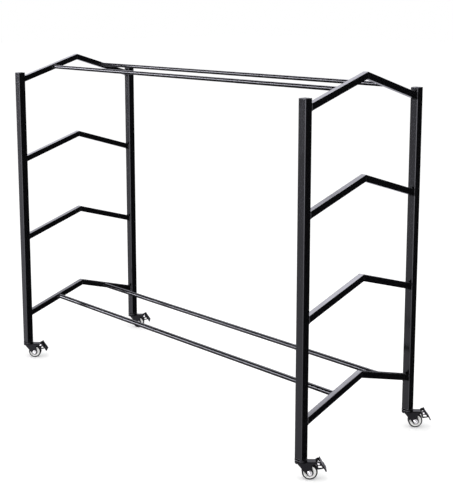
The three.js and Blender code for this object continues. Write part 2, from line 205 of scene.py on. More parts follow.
# Stove enamel on the turned ball cup: black and glossier than the pressings under it
CUP_ENAMEL = Finish("gloss_black_stove_enamel", "pressed_steel", 0x060607, 0x0a0a0b,
                    0.15, 0.03, 1.2, 0.2)
# Bright zinc plate on turned steel: pale, slightly cloudy metal
ZINC_PLATE = Finish("bright_zinc_plate", "zinc", 0xdad9d4, 0xc4c3be,
                    0.24, 0.07, 0.6, 0.15, metallic=1.0)
# Moulded polypropylene wheel centre: off-white, satin
WHEEL_PLASTIC = Finish("moulded_white_polypropylene", "wheel_plastic", 0xf5f5f4, 0xececea,
                       0.42, 0.05, 0.8, 0.2)
# Thermoplastic rubber tread: black and matt, with faint scuffs from the floor
TREAD_RUBBER = Finish("black_thermoplastic_rubber", "tyre_rubber", 0x0e0e0f, 0x161617,
                      0.66, 0.1, 0.5, 0.6, specular=0.2)


@dataclass(frozen=True)
class Finishes:
    """The skins of the cart."""

    powder_coat: Skin
    black_plastic: Skin
    pressed_steel: Skin
    cup_enamel: Skin
    zinc: Skin
    wheel_plastic: Skin
    tyre_rubber: Skin

    @classmethod
    def make(cls) -> "Finishes":
        """Builds all the skins.

        Returns:
            The seven skins.
        """
        order = (POWDER_COAT, MOULDED_PLASTIC, COATED_STEEL, CUP_ENAMEL, ZINC_PLATE,
                 WHEEL_PLASTIC, TREAD_RUBBER)
        return cls(*(finish.build() for finish in order))


# Meshes


def mesh_from(name: str, points: Iterable[Sequence[float]],
              faces: Iterable[Sequence[int]]) -> bpy.types.Mesh:
    """Makes a mesh and turns its faces outwards.

    Args:
        name: The mesh's name.
        points: The places of its corners.
        faces: The corner numbers of each face.

    Returns:
        The mesh.
    """
    made = bpy.data.meshes.new(name)
    made.from_pydata([tuple(p) for p in points], [], [tuple(f) for f in faces])
    work = bmesh.new()
    work.from_mesh(made)
    bmesh.ops.recalc_face_normals(work, faces=work.faces)
    work.to_mesh(made)
    work.free()
    return made


def prism(name: str, outline: Sequence[Point2], low: float, high: float,
          place: Callable[[float, float, float], Point3]) -> bpy.types.Mesh:
    """Extrudes a flat outline.

    Args:
        name: The mesh's name.
        outline: The outline's corners in order.
        low: Where the prism starts.
        high: Where it ends.
        place: Turns the two outline numbers and the depth into a point.

    Returns:
        The closed prism.
    """
    count = len(outline)
    points = [place(a, b, low) for a, b in outline] + [place(a, b, high) for a, b in outline]
    sides = [(i, (i + 1) % count, (i + 1) % count + count, i + count) for i in range(count)]
    return mesh_from(name, points, [range(count), range(count, 2 * count), *sides])


def across(u: float, z: float, v: float) -> Point3:
    """Places an outline of trail and height at a distance across the caster."""
    return (u, v, z)


def along(v: float, z: float, u: float) -> Point3:
    """Places an outline of width and height at a distance along the trail."""
    return (u, v, z)


def upright(x: float, y: float, z: float) -> Point3:
    """Places a plan outline at a height."""
    return (x, y, z)


def arc(centre: Point2, radius: float, start: float, end: float, steps: int) -> list[Point2]:
    """Lists points on an arc.

    Args:
        centre: The arc's centre.
        radius: Its radius.
        start: The first angle in degrees.
        end: The last angle in degrees.
        steps: How many steps it takes.

    Returns:
        The points from start to end.
    """
    angles = [math.radians(start + (end - start) * i / steps) for i in range(steps + 1)]
    return [(centre[0] + radius * math.cos(a), centre[1] + radius * math.sin(a)) for a in angles]


def rounded_square(side: float, radius: float, steps: int = 6) -> list[Point2]:
    """Lists the corners of a square with round corners.

    Args:
        side: The square's side.
        radius: The corner radius.
        steps: How many steps each corner takes.

    Returns:
        The points, anticlockwise.
    """
    inset = side / 2 - radius
    places = [(inset, inset), (-inset, inset), (-inset, -inset), (inset, -inset)]
    return [p for i, c in enumerate(places) for p in arc(c, radius, 90 * i, 90 * i + 90, steps)]


def loft(name: str, rings: Sequence[Ring], closed: bool = False) -> bpy.types.Mesh:
    """Joins rings of equal count into a skin.

    Args:
        name: The mesh's name.
        rings: The rings in order.
        closed: True where the last ring meets the first, False where both ends are filled.

    Returns:
        The closed mesh.
    """
    count = len(rings[0])
    points = [p for ring in rings for p in ring]
    faces: list[Sequence[int]] = []
    for r in range(len(rings) if closed else len(rings) - 1):
        near, far = r * count, (r + 1) % len(rings) * count
        faces += [(near + i, near + (i + 1) % count, far + (i + 1) % count, far + i)
                  for i in range(count)]
    if not closed:
        faces += [range(count), range((len(rings) - 1) * count, len(rings) * count)]
    return mesh_from(name, points, faces)


def turned(name: str, profile: Sequence[Point2], segments: int = 48) -> bpy.types.Mesh:
    """Turns a profile about the vertical.

    Args:
        name: The mesh's name.
        profile: Radius and height of each point. It starts and ends on the axis, or is closed.
        segments: How many segments go round.

    Returns:
        The closed mesh.
    """
    on_axis = profile[0][0] == 0
    body = profile[1:-1] if on_axis else profile
    angles = [2 * math.pi * i / segments for i in range(segments)]
    rings = [[Vector((r * math.cos(a), r * math.sin(a), z)) for a in angles] for r, z in body]
    return loft(name, rings, closed=not on_axis)


def spindle(name: str, profile: Sequence[Point2], centre: Point2,
            segments: int = 32) -> bpy.types.Mesh:
    """Turns a profile about a line across the caster.

    Args:
        name: The mesh's name.
        profile: Radius of each point, and its place across the caster.
        centre: Trail and height of the line.
        segments: How many segments go round.

    Returns:
        The closed mesh.
    """
    made = turned(name, [(radius, -place) for radius, place in profile], segments)
    made.transform(Matrix.Translation((centre[0], 0, centre[1]))
                   @ Matrix.Rotation(math.pi / 2, 4, "X"))
    return made


def mirrored(half: Sequence[Point2]) -> list[Point2]:
    """Adds its mirror image across the caster's middle to a profile, in reverse."""
    return [*half, *((radius, -place) for radius, place in reversed(half))]


def modified(base: bpy.types.Mesh, kind: str, settings: dict,
             inputs: dict | None = None) -> bpy.types.Mesh:
    """Applies a modifier to a mesh.

    Args:
        base: The mesh, which is used up.
        kind: Blender's name for the kind of modifier.
        settings: The modifier's attributes by name.
        inputs: The inputs of its node tree by socket name.

    Returns:
        The new mesh.
    """
    holder = bpy.data.objects.new("holder", base)
    bpy.context.scene.collection.objects.link(holder)
    step = holder.modifiers.new("step", kind)
    for key, value in settings.items():
        setattr(step, key, value)
    if inputs:
        sockets = {s.name: s.identifier for s in step.node_group.interface.items_tree
                   if s.in_out == "INPUT"}
        for key, value in inputs.items():
            step[sockets[key]] = value
    graph = bpy.context.evaluated_depsgraph_get()
    graph.update()
    made = bpy.data.meshes.new_from_object(holder.evaluated_get(graph), depsgraph=graph)
    name = base.name
    bpy.data.objects.remove(holder)
    bpy.data.meshes.remove(base)
    made.name = name
    return made


def combine(base: bpy.types.Mesh, tool: bpy.types.Mesh, how: Boolean) -> bpy.types.Mesh:
    """Joins, cuts or intersects two closed meshes.

    Args:
        base: The mesh that is changed and used up.
        tool: The mesh that acts on it, which is used up.
        how: The operation.

    Returns:
        The result.
    """
    other = bpy.data.objects.new("tool", tool)
    bpy.context.scene.collection.objects.link(other)
    made = modified(base, "BOOLEAN", {"operation": how.value, "solver": "EXACT", "object": other})
    bpy.data.objects.remove(other)
    bpy.data.meshes.remove(tool)
    return made


# How far in millimetres a face is set back from one that it would share a plane with
SET_BACK = 0.01
# What counts as one point in millimetres, and as one plane and as a sharp edge in degrees
SAME_POINT = 0.002
SAME_PLANE = 1
SHARP_EDGE = 35


def softened(base: bpy.types.Mesh, width: float) -> bpy.types.Mesh:
    """Rounds a mesh's sharp edges.

    Args:
        base: The mesh, which is used up.
        width: The width of the rounding.

    Returns:
        The rounded mesh.
    """
    work = bmesh.new()
    work.from_mesh(base)
    bmesh.ops.remove_doubles(work, verts=work.verts, dist=SAME_POINT)
    bmesh.ops.dissolve_limit(work, angle_limit=math.radians(SAME_PLANE), verts=work.verts,
                             edges=work.edges)
    work.to_mesh(base)
    work.free()
    return modified(base, "BEVEL", {
        "width": width, "segments": 2, "limit_method": "ANGLE",
        "angle_limit": math.radians(SHARP_EDGE), "miter_outer": "MITER_ARC"})


def shaded(base: bpy.types.Mesh, angle: float = 32) -> bpy.types.Mesh:
    """Shades a mesh smooth, with its flat faces left flat.

    Args:
        base: The mesh, which is used up.
        angle: The least angle in degrees of an edge that stays sharp.

    Returns:
        The shaded mesh.
    """
    base.shade_smooth()
    base.set_sharp_from_angle(angle=math.radians(angle))
    return modified(base, "WEIGHTED_NORMAL", {"keep_sharp": True})


def new_group(name: str, inputs: dict[str, str]) -> tuple[bpy.types.NodeTree, Sequence]:
    """Starts a geometry node tree.

    Args:
        name: The tree's name.
        inputs: The kinds of its inputs by their names, with the holder's mesh first.

    Returns:
        The tree, and the sockets that give its inputs.
    """
    made = bpy.data.node_groups.new(name, "GeometryNodeTree")
    for key, kind in inputs.items():
        made.interface.new_socket(key, in_out="INPUT", socket_type=f"NodeSocket{kind}")
    made.interface.new_socket("Geometry", in_out="OUTPUT", socket_type="NodeSocketGeometry")
    return made, add_node(made, "NodeGroupInput").outputs


def close_group(tree: bpy.types.NodeTree, laid: Source, material: Source) -> None:
    """Ends a geometry node tree.

    Args:
        tree: The tree.
        laid: The instances that it has laid, which become real.
        material: The material that they get.
    """
    real = add_node(tree, "GeometryNodeRealizeInstances", links={"Geometry": laid})
    dressed = add_node(tree, "GeometryNodeSetMaterial",
                       links={"Geometry": real, "Material": material})
    add_node(tree, "NodeGroupOutput", links={"Geometry": dressed})


def piece(name: str, base: bpy.types.Mesh, skin: Skin, body: str, node: str | None = None,
          placed: Matrix | None = None) -> None:
    """Makes a piece of the cart from a mesh in millimetres.

    Args:
        name: The piece's name.
        base: The mesh, which is copied.
        skin: The piece's finish.
        body: The body that it rides on.
        node: The node that it stands for.
        placed: Where the mesh goes, in millimetres.
    """
    mesh = base.copy()
    mesh.transform(Matrix.Scale(MM, 4) @ (placed or Matrix.Identity(4)))
    mesh.name = name
    mesh.materials.clear()
    mesh.materials.append(skin.material)
    made = bpy.data.objects.new(name, mesh)
    bpy.context.scene.collection.objects.link(made)
    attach(made, body)
    if node:
        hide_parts(node)
    log.info("%s: %d faces on %s", name, len(mesh.polygons), body)


def stem_of(corner: Corner) -> Vector:
    """Finds the stem axis of a corner's caster.

    Args:
        corner: The corner.

    Returns:
        The record's swivel joint in plan, in millimetres.
    """
    for joint in frame["record"]["behaviour"]["joints"]:
        if joint["name"] == f"swivel_{corner.value}":
            return Vector((joint["pos_m"][0] / MM, joint["pos_m"][1] / MM, 0))
    raise ValueError(corner)


def foot_level() -> float:
    """Gives the height of the posts' feet above the floor in millimetres."""
    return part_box("post_front_left")[0].z / MM


# Welded frame


def hollow(name: str, outer: Sequence[Ring], inner: Sequence[Ring]) -> bpy.types.Mesh:
    """Makes a tube from the rings of its outside and of its bore, both in order."""
    return shaded(loft(name, [*outer, *reversed(inner)], closed=True))


@dataclass(frozen=True)
class WeldedFrame:
    """Posts with their caps, ridged crossbars and rails, in millimetres."""

    finishes: Finishes
    foot: float
    post_height: float = 1130
    post_side: float = 30
    post_wall: float = 1.5
    post_corner: float = 3
    bar_side: float = 22
    bar_wall: float = 1.5
    bar_corner: float = 2.8
    bar_end: float = 267.2
    lowest_tier: float = 130
    tier_spacing: float = 329
    tiers: int = 4
    ridge_rise: float = 82
    rail_spacing: float = 244
    top_rail: float = 15
    bottom_rail: float = 18
    rail_wall: float = 1.2
    gap: float = 0.3
    plug_depth: float = 22
    plug_play: float = 0.6
    ribs: int = 5
    rib_pitch: float = 3.6
    rib_height: float = 1.2
    lowest_rib: float = 2.5
    # The eased edge of a cap: how far in from the post's sides, and height above the post
    cap_edge: Profile = ((0.4, 0), (0, 0.3), (0, 1.8), (0.35, 2.35), (1.1, 2.75), (2.2, 2.95),
                         (4, 3))
    # One rib of a cap's plug: 1 at its full height and 0 at its root, and distance up the plug
    rib_form: Profile = ((0, 0), (1, 0.7), (1, 1.3), (0, 1.5))
    least_corner: float = 0.8

    @property
    def middle(self) -> Vector:
        """The middle of the welded frame on the floor."""
        return (stem_of(Corner.FRONT_LEFT) + stem_of(Corner.BACK_RIGHT)) / 2

    @property
    def half_length(self) -> float:
        """Half the frame's outside length."""
        return (stem_of(Corner.BACK_RIGHT) - stem_of(Corner.FRONT_LEFT)).x / 2 + self.post_side / 2

    @property
    def slope(self) -> float:
        """How much a crossbar's leg rises for each millimetre of run."""
        return self.ridge_rise / self.bar_end

    @property
    def bar_depth(self) -> float:
        """A crossbar's plumb depth."""
        return self.bar_side * math.hypot(1, self.slope)

    @property
    def stretch(self) -> float:
        """How much deeper a crossbar is when it is cut plumb."""
        return self.bar_depth / self.bar_side

    def bar_level(self, tier: int, from_ridge: float) -> float:
        """Gives a crossbar's mid height.

        Args:
            tier: The tier, from zero at the bottom.
            from_ridge: The distance from the ridge.

        Returns:
            The height above the floor.
        """
        edge = self.foot + self.lowest_tier + tier * self.tier_spacing
        return edge - self.bar_depth / 2 + self.slope * (self.bar_end - from_ridge)

    def end_middle(self, way: int) -> Vector:
        """Gives the middle of the crossbars' plane at one end of the cart."""
        return self.middle + Vector((way * (self.half_length - self.bar_side / 2), 0, 0))

    def post(self) -> bpy.types.Mesh:
        """Makes a post about its own axis.

        Returns:
            The square tube.
        """
        levels = (self.foot, self.foot + self.post_height)
        walls = []
        for inset in (0, self.post_wall):
            section = rounded_square(self.post_side - 2 * inset, self.post_corner - inset)
            walls.append([[Vector((x, y, z)) for x, y in section] for z in levels])
        return hollow("post", *walls)

    def crossbar(self, tier: int) -> bpy.types.Mesh:
        """Makes a ridged crossbar about the middle of its end of the cart.

        Args:
            tier: The tier, from zero at the bottom.

        Returns:
            The mitred square tube.
        """
        walls = []
        for inset in (0, self.bar_wall):
            section = rounded_square(self.bar_side - 2 * inset, self.bar_corner - inset)
            walls.append([[Vector((x, y, self.bar_level(tier, abs(y)) + self.stretch * h))
                           for x, h in section] for y in (-self.bar_end, 0.0, self.bar_end)])
        return hollow("crossbar", *walls)

    def rail(self, diameter: float, level: float) -> bpy.types.Mesh:
        """Makes a rail along X.

        Args:
            diameter: The rail's outside diameter.
            level: The height of its axis.

        Returns:
            The round tube.
        """
        reach = self.half_length - self.bar_side - self.gap
        walls = []
        for radius in (diameter / 2, diameter / 2 - self.rail_wall):
            section = arc((0, level), radius, 0, 360, 48)[:-1]
            walls.append([[Vector((x, y, z)) for y, z in section] for x in (-reach, reach)])
        return hollow("rail", *walls)

    def cap(self) -> bpy.types.Mesh:
        """Makes the ribbed cap of a post about the post's own axis.

        Returns:
            The cap, with an eased upper edge.
        """
        top = self.foot + self.post_height + self.gap
        rib = self.post_side - 2 * self.post_wall - self.plug_play
        core = rib - 2 * self.rib_height
        steps = [(core, -self.plug_depth)]
        for number in range(self.ribs):
            low = self.lowest_rib - self.plug_depth + self.rib_pitch * number
            steps += [(rib if share else core, low + up) for share, up in self.rib_form]
        steps.append((core, 0))
        steps += [(self.post_side - inset, height) for inset, height in self.cap_edge]
        rings = []
        for side, height in steps:
            corner = max(self.post_corner - (self.post_side - side) / 2, self.least_corner)
            rings.append([Vector((x, y, top + height)) for x, y in rounded_square(side, corner)])
        return shaded(loft("cap", rings))

    def build(self) -> None:
        """Makes every piece of the frame and dresses the nodes that stay."""
        coat, plastic = self.finishes.powder_coat, self.finishes.black_plastic
        post, cap = self.post(), self.cap()
        for corner in Corner:
            spot, name = Matrix.Translation(stem_of(corner)), corner.value
            piece(f"coated_post_{name}", post, coat, "frame", f"post_{name}", spot)
            piece(f"ribbed_cap_{name}", cap, plastic, "frame", f"cap_{name}", spot)
            for held in frame["nodes"][f"stem_insert_{name}"].material_slots:
                held.material = plastic.material
        for tier in range(self.tiers):
            bar = self.crossbar(tier)
            for side, way in ((Side.LEFT, -1), (Side.RIGHT, 1)):
                name = f"crossbar_{side.value}_{tier + 1}"
                spot = Matrix.Translation(self.end_middle(way))
                piece(f"coated_{name}", bar, coat, "frame", name, spot)
        for level, diameter, tier in (("top", self.top_rail, self.tiers - 1),
                                      ("bottom", self.bottom_rail, 0)):
            rail = self.rail(diameter, self.bar_level(tier, self.rail_spacing / 2))
            for side, way in (("front", -1), ("back", 1)):
                name = f"rail_{level}_{side}"
                spot = self.middle + Vector((0, way * self.rail_spacing / 2, 0))
                piece(f"coated_{name}", rail, coat, "frame", name, Matrix.Translation(spot))


# Weld beads


@dataclass(frozen=True)
class Seam:
    """The path of one bead, in millimetres."""

    points: list[Vector]
    closed: bool = True


@dataclass(frozen=True)
class WeldBeads:
    """Beads of overlapping ripples along the welded joints, coated with the frame."""

    welded: WeldedFrame
    bar_ripple: float = 2.1
    rail_ripple: float = 1.7
    mitre_ripple: float = 1.5
    mitre_depth: float = 1.0
    seam_depth: float = 0.6
    rail_stand: float = 0.4
    pitch: float = 1.3
    least: Point3 = (0.86, 0.86, 0.8)
    most: Point3 = (1.08, 1.08, 0.95)
    seed: int = 7

    def tree(self) -> bpy.types.NodeTree:
        """Builds the node tree that lays ripples along a path.

        Returns:
            The tree, with named inputs for its sizes.
        """
        made, given = new_group("weld_ripples", {
            "Path": "Geometry", "Pitch": "Float", "Ripple radius": "Float", "Seed": "Int",
            "Material": "Material"})
        curve = add_node(made, "GeometryNodeMeshToCurve", links={"Mesh": given["Path"]})
        dots = add_node(made, "GeometryNodeCurveToPoints", {"mode": "LENGTH"},
                        {"Curve": curve, "Length": given["Pitch"]}).outputs
        drop = add_node(made, "GeometryNodeMeshIcoSphere", {"Subdivisions": 2},
                        {"Radius": given["Ripple radius"]})
        size = add_node(made, "FunctionNodeRandomValue", {
            "data_type": "FLOAT_VECTOR", 0: self.least, 1: self.most}, {"Seed": given["Seed"]})
        laid = add_node(made, "GeometryNodeInstanceOnPoints", links={
            "Points": dots["Points"], "Instance": drop, "Rotation": dots["Rotation"],
            "Scale": size})
        smooth = add_node(made, "GeometryNodeSetShadeSmooth", links={"Geometry": laid})
        close_group(made, smooth, given["Material"])
        return made

    def bar_seams(self) -> list[Seam]:
        """Lists the seams that join the crossbars to the posts.

        Returns:
            A closed seam round each end of each crossbar.
        """
        part = self.welded
        reach = part.bar_end - part.gap
        section = rounded_square(part.bar_side - 2 * self.seam_depth, part.bar_corner, 3)
        return [Seam([part.end_middle(way)
                      + Vector((x, end * reach, part.bar_level(tier, reach) + part.stretch * h))
                      for x, h in section])
                for way in (-1, 1) for tier in range(part.tiers) for end in (-1, 1)]

    def mitre_seams(self) -> list[Seam]:
        """Lists the seams at the ridges, down the sides and under; the tops are ground flush.

        Returns:
            An open seam at each ridge.
        """
        part = self.welded
        section = rounded_square(part.bar_side - 2 * self.mitre_depth, part.bar_corner, 3)
        under = [section[7], *section[8:16], section[0]]
        return [Seam([part.end_middle(way)
                      + Vector((x, 0, part.bar_level(tier, 0) + part.stretch * h))
                      for x, h in under], closed=False)
                for way in (-1, 1) for tier in range(part.tiers)]

    def rail_seams(self) -> list[Seam]:
        """Lists the seams that join the rails to the crossbars.

        Returns:
            A closed seam round each end of each rail.
        """
        part, seams = self.welded, []
        for way in (-1, 1):
            stand = part.bar_side / 2 + self.rail_stand
            face = part.end_middle(way) - Vector((way * stand, 0, 0))
            for diameter, tier in ((part.top_rail, part.tiers - 1), (part.bottom_rail, 0)):
                level = part.bar_level(tier, part.rail_spacing / 2)
                for end in (-1, 1):
                    centre = (end * part.rail_spacing / 2, level)
                    ring = arc(centre, diameter / 2, 0, 360, 24)[:-1]
                    seams.append(Seam([face + Vector((0, y, z)) for y, z in ring]))
        return seams

    def bead(self, name: str, seams: Sequence[Seam], ripple: float,
             tree: bpy.types.NodeTree) -> None:
        """Lays the beads of one kind of joint as one piece.

        Args:
            name: The piece's name.
            seams: The seams that it fills.
            ripple: The radius of a ripple.
            tree: The node tree that lays ripples.
        """
        coat = self.welded.finishes.powder_coat
        points, edges = [], []
        for seam in seams:
            first, count = len(points), len(seam.points)
            points += [tuple(p * MM) for p in seam.points]
            edges += [(first + i, first + (i + 1) % count)
                      for i in range(count if seam.closed else count - 1)]
        path = bpy.data.meshes.new(name)
        path.from_pydata(points, edges, [])
        mesh = modified(path, "NODES", {"node_group": tree}, {
            "Pitch": self.pitch * MM, "Ripple radius": ripple * MM, "Seed": self.seed,
            "Material": coat.material})
        mesh.transform(Matrix.Scale(1 / MM, 4))
        piece(name, mesh, coat, "frame")

    def build(self) -> None:
        """Lays all the beads."""
        tree = self.tree()
        for joint, seams, ripple in (("crossbars", self.bar_seams(), self.bar_ripple),
                                     ("mitres", self.mitre_seams(), self.mitre_ripple),
                                     ("rails", self.rail_seams(), self.rail_ripple)):
            self.bead(f"weld_beads_{joint}", seams, ripple, tree)


# Casters


@dataclass(frozen=True)
class Caster:
    """A swivel caster with a brake pedal, in millimetres from its stem axis and the floor.

    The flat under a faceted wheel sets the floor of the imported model, so the round wheel of this
    class is a little smaller and everything hangs lower by the same amount.
    """

    finishes: Finishes
    foot: float
    seat: float = 70.6
    turn: float = 45
    play: float = 0.3
    drill_reach: float = 20
    axle: Point2 = (27.5, 25.5)
    axle_radius: float = 4
    thread_pitch: float = 0.5
    thread_depth: float = 0.4
    thread_hidden: float = 1
    hex_flats: float = 13
    hex_root: float = 0.8
    bolt_head: float = 5
    nut_height: float = 6.5
    bolt_end: float = 1.5
    bolt_tip: float = 0.6
    wheel_radius: float = 25.24
    tyre_width: float = 20
    tyre_thickness: float = 5
    tyre_shoulder: float = 3
    plate: float = 2.5
    crown_top: float = 60
    crown_radius: float = 20
    crown_rear: float = 46
    crown_lip: float = 4
    proud: float = 0.15
    fork_front: float = 16.5
    fork_inside: float = 24
    fork_bend: float = 4
    fork_edge: float = 0.45
    web_length: float = 19.5
    overrun: float = 3
    leg_end: float = 12
    leg_waist: float = 35
    arm_depth: float = 7.5
    pivot: Point2 = (55, 56)
    ear_radius: float = 5.8
    pin_radius: float = 2.5
    stem_radius: float = 5
    stem_length: float = 18
    cup_radius: float = 20.5
    cup_top: float = 68
    cup_wall: float = 2
    cup_skirt: float = 63
    dome_run: float = 5
    dome_drop: float = 3.4
    balls: int = 18
    ball_radius: float = 1.7
    ball_ring: Point2 = (14.6, 64.0)
    pedal_plate: float = 1.8
    pedal_gap: float = 0.5
    pedal_reach: float = 23
    pedal_drop: float = 25
    pedal_edge: float = 0.3
    tread_offset: float = 7
    tread_plate: float = 2.2
    tread_bar: float = 0.62
    pad_length: float = 17
    pad_width: float = 37
    pad_ribs: int = 6
    pad_skin: float = 0.7
    shoe_radius: float = 27.3
    shoe_plate: float = 2.6
    shoe_span: Point2 = (28.1, 41)
    # The channel before it is cut: where it starts and ends along the trail
    blank: Point2 = (-30, 70)
    # The angle in degrees at which a leg's round end passes to its rear edge
    heel: float = 382.5
    # The raceway pressed up from the crown: radius, and height above the plate
    raceway: Profile = ((16.7, 0.15), (16.5, 1), (15.9, 1.7), (15.2, 2), (10.7, 2), (10.5, 1.8),
                        (10.5, 0.15))
    # The head of the king rivet under the crown: radius and height
    rivet_head: Profile = ((5, 57.2), (7.4, 57.2), (7.5, 56.7), (6.9, 55.6), (5, 54.7), (0, 54.7))
    # The cage that holds the balls: radius and height
    cage: Profile = ((13.1, 63.4), (16.1, 63.4), (16.1, 64.4), (13.1, 64.4))
    # The flange of the axle bolt and of its nut: radius, and distance from its face on the fork
    washer: Profile = ((0, 0), (7.9, 0), (8, 0.4), (7.6, 1.2), (6.8, 1.6), (0, 1.6))
    # Half of the wheel's centre, from bore to rim: radius and offset
    wheel_face: Profile = (
        (4.3, 11.2), (4.6, 11.5), (8, 11.5), (8.5, 11.1), (9.4, 8), (10.6, 5.4), (11.6, 4.7),
        (13.2, 4.5), (13.6, 4.0), (14.4, 4.0), (14.8, 4.5), (16.2, 4.6), (17.1, 5.4), (17.9, 9.4),
        (18.4, 9.9))
    # Half of the parting line round the tyre: depth and offset
    parting: Profile = ((0, 0.5), (0.12, 0.35))
    # One rib of the pedal's pad: share of the ribs' pitch, and height
    pad_rib: Profile = ((0, -0.5), (0.2, 0.4), (0.55, 0.4), (0.75, -0.5))
    # The domed head of the pedal's rivet: radius, and distance from the pedal
    domed_head: Profile = ((0, 1.6), (2.2, 1.5), (3.5, 1.1), (4.15, 0.5), (4.2, 0), (2.5, 0))
    # The pedal's cheek and the window in it, as shares of its reach and of its drop from the pin
    cheek: Profile = ((-0.065, 0.27), (-0.326, 0.14), (-0.326, -0.5), (-0.165, -0.73),
                      (0.5, -0.64))
    window: Profile = ((-0.087, -0.5), (0.5, -0.49), (0.36, -0.24), (-0.087, -0.24))

    @property
    def drop(self) -> float:
        """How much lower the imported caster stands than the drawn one."""
        return self.seat - self.foot

    @property
    def half_fork(self) -> float:
        """Half the fork's outside width."""
        return self.fork_inside / 2 + self.plate

    @property
    def front_angle(self) -> float:
        """The angle at which the fork's straight front leaves the round end of a leg."""
        ahead, above = self.fork_front + self.axle[0], self.crown_top - self.axle[1]
        return math.atan2(above, -ahead) + math.acos(self.leg_end / math.hypot(above, ahead))

    def drilled(self, base: bpy.types.Mesh, at: Point2, radius: float) -> bpy.types.Mesh:
        """Drills a hole right across the caster.

        Args:
            base: The mesh, which is used up.
            at: Trail and height of the hole.
            radius: The radius of what goes through it.

        Returns:
            The drilled mesh.
        """
        end, wide = self.drill_reach, radius + self.play
        bore = spindle("bore", [(0, end), (wide, end), (wide, -end), (0, -end)], at, 24)
        return combine(base, bore, Boolean.CUT)

    def leg_outline(self) -> list[Point2]:
        """Lists the side outline of the fork.

        Returns:
            The corners, from the front edge round the axle and the ear to the crown.
        """
        under, waist, bend = self.crown_top - self.arm_depth, self.leg_waist, self.fork_bend
        outline = arc(self.axle, self.leg_end, math.degrees(self.front_angle), self.heel, 18)
        start, turn, end = outline[-1], (waist, self.axle[1] + self.leg_end), (waist, under - bend)
        for step in range(1, 9):
            t = step / 8
            outline.append(tuple((1 - t) ** 2 * a + 2 * t * (1 - t) * b + t * t * c
                                 for a, b, c in zip(start, turn, end)))
        outline += arc((waist + bend, under - bend), bend, 180, 90, 6)[1:]
        outline += arc(self.pivot, self.ear_radius, -90, 90, 16)
        return [*outline, (self.crown_rear, self.crown_top), (-self.fork_front, self.crown_top)]

    def void_outline(self) -> list[Point2]:
        """Lists the side outline of the room between the legs.

        It leaves the crown's plate above and the web that closes the front of the fork.

        Returns:
            The eight corners.
        """
        angle, top = self.front_angle, self.crown_top
        down = Vector((-math.sin(angle), math.cos(angle)))
        inward = Vector((-math.cos(angle), -math.sin(angle)))
        inner = Vector((-self.fork_front, top)) + inward * self.plate
        under = top - self.plate
        high = inner + down * ((under - inner.y) / down.y)
        foot = inner + down * self.web_length
        out = foot - inward * (self.plate + self.overrun)
        rear, floor, sky = self.pivot[0] + 20, -self.overrun, top + 15
        return [(rear, floor), (rear, sky), (self.crown_rear, sky), (self.crown_rear, under),
                tuple(high), tuple(foot), tuple(out), (out.x, floor)]

    def channel_outline(self) -> list[Point2]:
        """Lists the outside section of the pressed channel, with its bends.

        Returns:
            The corners, from one leg over the crown to the other.
        """
        wide, bend, low = self.half_fork, self.fork_bend, 5.0
        side, high = wide - bend, self.crown_top - bend
        return [(-wide, low), (-wide, high), *arc((-side, high), bend, 180, 90, 6)[1:],
                *arc((side, high), bend, 90, 0, 6), (wide, low)]

    def crown(self) -> bpy.types.Mesh:
        """Turns the crown with its raceway, and a lip that is left at the front only.

        Returns:
            The crown.
        """
        top, radius = self.crown_top, self.crown_radius
        under, bend = top - self.plate, radius - self.plate
        lip = under - self.crown_lip
        profile = [(0, under - 0.2), (bend, under - 0.2), (bend, lip), (radius - 0.4, lip),
                   (radius, lip + 0.4), (radius, top - 0.6), (radius - 0.2, top - 0.1),
                   (radius - 0.7, top + self.proud)]
        profile += [(r, top + h) for r, h in self.raceway] + [(0, top + self.proud)]
        front, wide = -math.sqrt(radius ** 2 - self.half_fork ** 2), 30
        behind = [(front, -wide), (40, -wide), (40, wide), (front, wide)]
        return combine(turned("crown", profile, 64),
                       prism("behind", behind, lip - 5, under - 0.5, upright), Boolean.CUT)

    def fork(self) -> bpy.types.Mesh:
        """Presses the fork: a channel cut to the legs' outline, with crown, web and ears.

        Returns:
            The fork with its holes and rounded edges.
        """
        wide, inside, top = self.half_fork, self.fork_inside / 2, self.crown_top
        legs = prism("legs", self.leg_outline(), -wide - 1, wide + 1, across)
        void = prism("void", self.void_outline(), -inside, inside, across)
        made = prism("fork", self.channel_outline(), *self.blank, along)
        made = combine(combine(made, legs, Boolean.COMMON), void, Boolean.CUT)
        made = combine(softened(made, self.fork_edge), self.crown(), Boolean.UNION)
        near, far, radius = inside + self.play, wide + self.proud, self.ear_radius + self.proud
        edge, ease = self.fork_edge, self.fork_edge / 3
        ear = [(0, near), (radius, near), (radius, far - edge), (radius - ease, far - ease),
               (radius - edge, far), (0, far)]
        for way in (1, -1):
            boss = spindle("ear", [(r, way * place) for r, place in ear], self.pivot, 40)
            made = combine(made, boss, Boolean.UNION)
        king = self.stem_radius + self.play
        hole = [(0, top - 6), (king, top - 6), (king, top + 4), (0, top + 4)]
        made = combine(made, turned("king_hole", hole, 32), Boolean.CUT)
        made = self.drilled(made, self.axle, self.axle_radius)
        return shaded(self.drilled(made, self.pivot, self.pin_radius))

